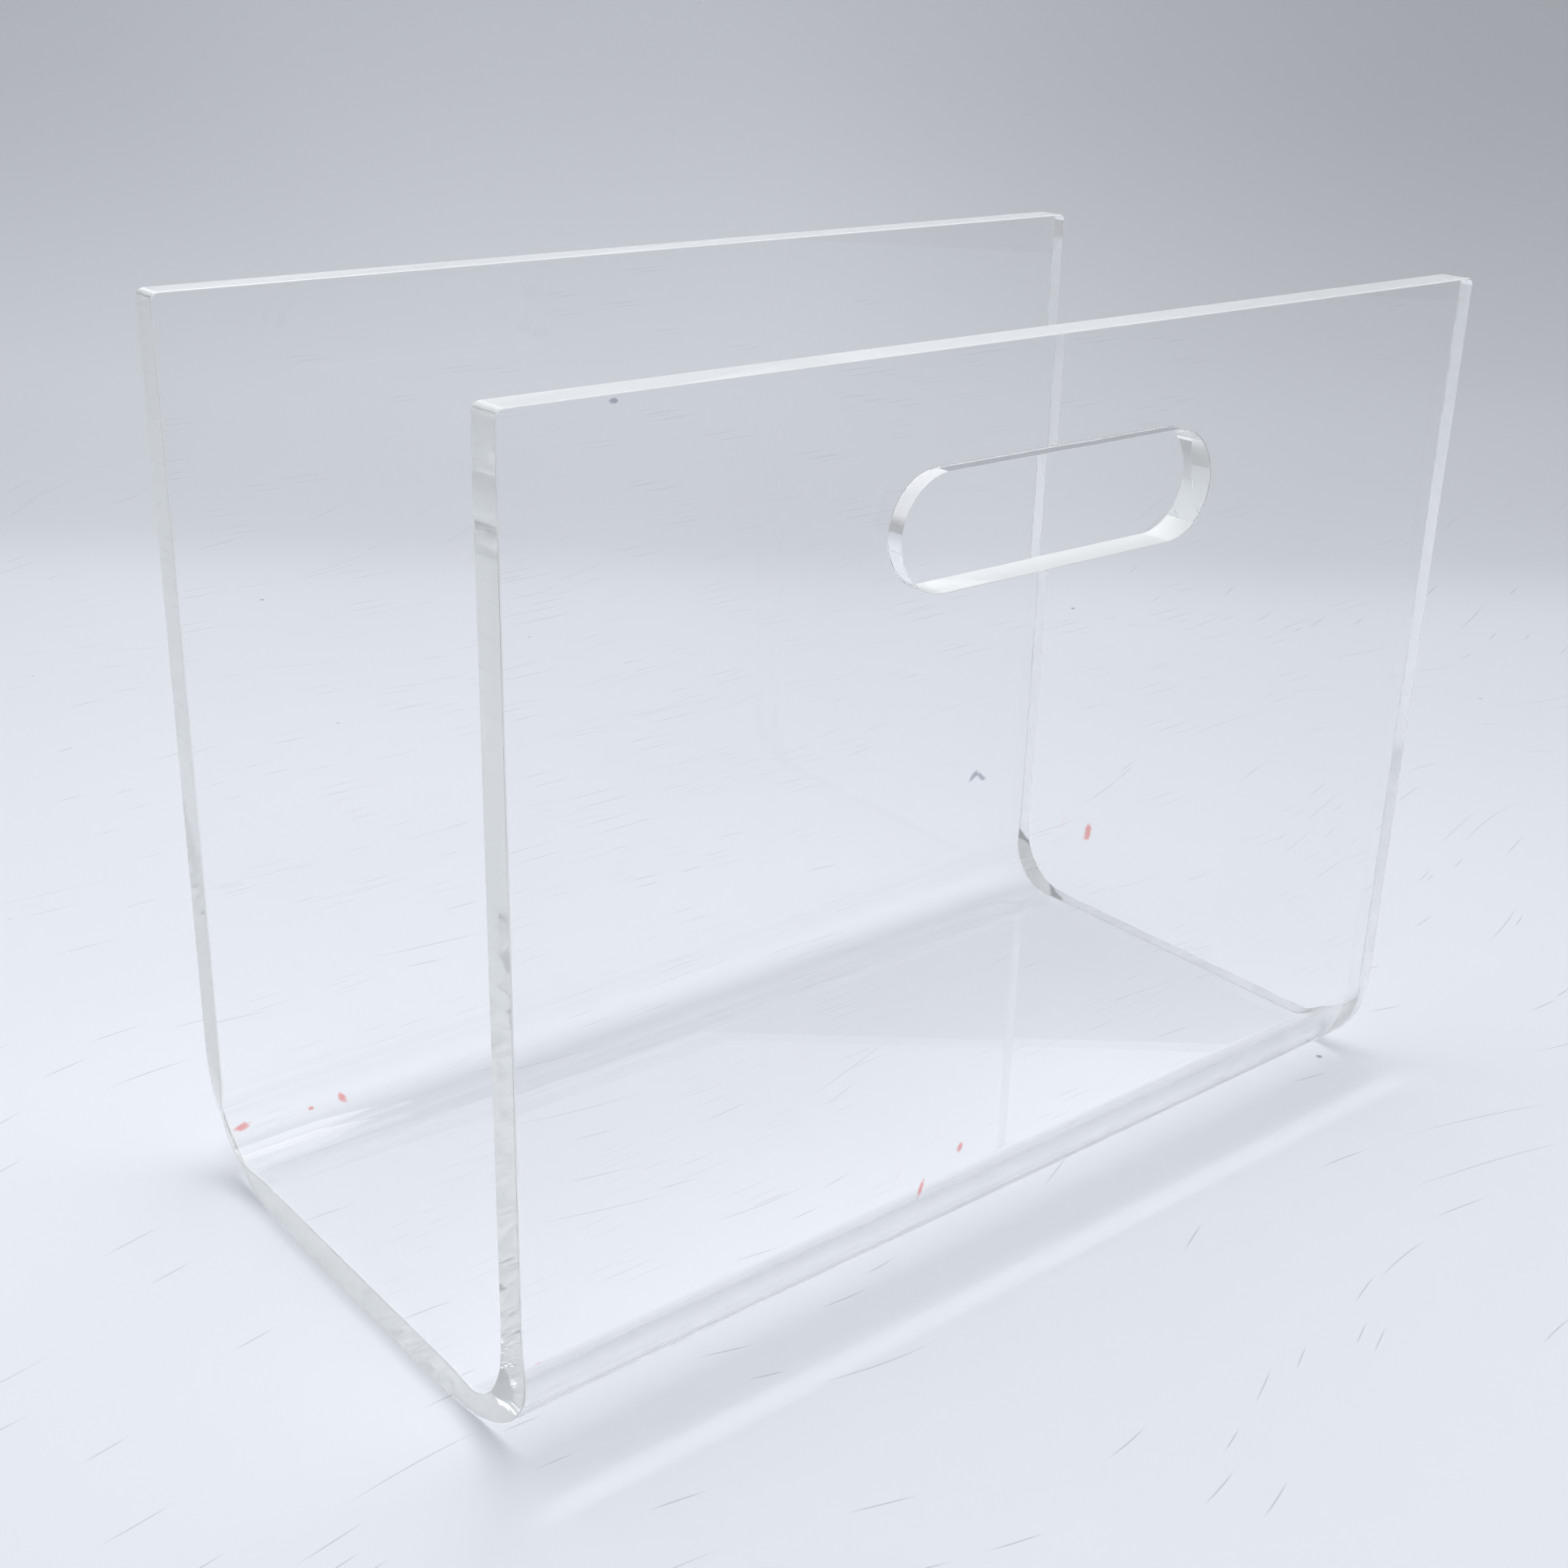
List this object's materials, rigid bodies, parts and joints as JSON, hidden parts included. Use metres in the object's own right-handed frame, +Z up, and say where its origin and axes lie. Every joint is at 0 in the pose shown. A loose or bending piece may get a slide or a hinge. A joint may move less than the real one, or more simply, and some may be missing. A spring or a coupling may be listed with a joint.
{
  "type": "magazine rack",
  "caption": "Free-standing magazine rack bent from a thick clear acrylic sheet into a U-shaped trough with rounded bends, open ends and an oblong hand slot in the front wall.",
  "frame": {"origin": "centre of the footprint, on the surface the rack stands on", "axes": "+X along the rack's length, -Y towards the wall with the hand slot, +Z up"},
  "size_m": [0.35, 0.182, 0.274],
  "materials": {
    "clear_acrylic": "clear cast acrylic, polished faces and flame-polished edges, lightly scratched"
  },
  "bodies": {
    "root": {"bent_sheet": "clear_acrylic"}
  },
  "joints": []
}
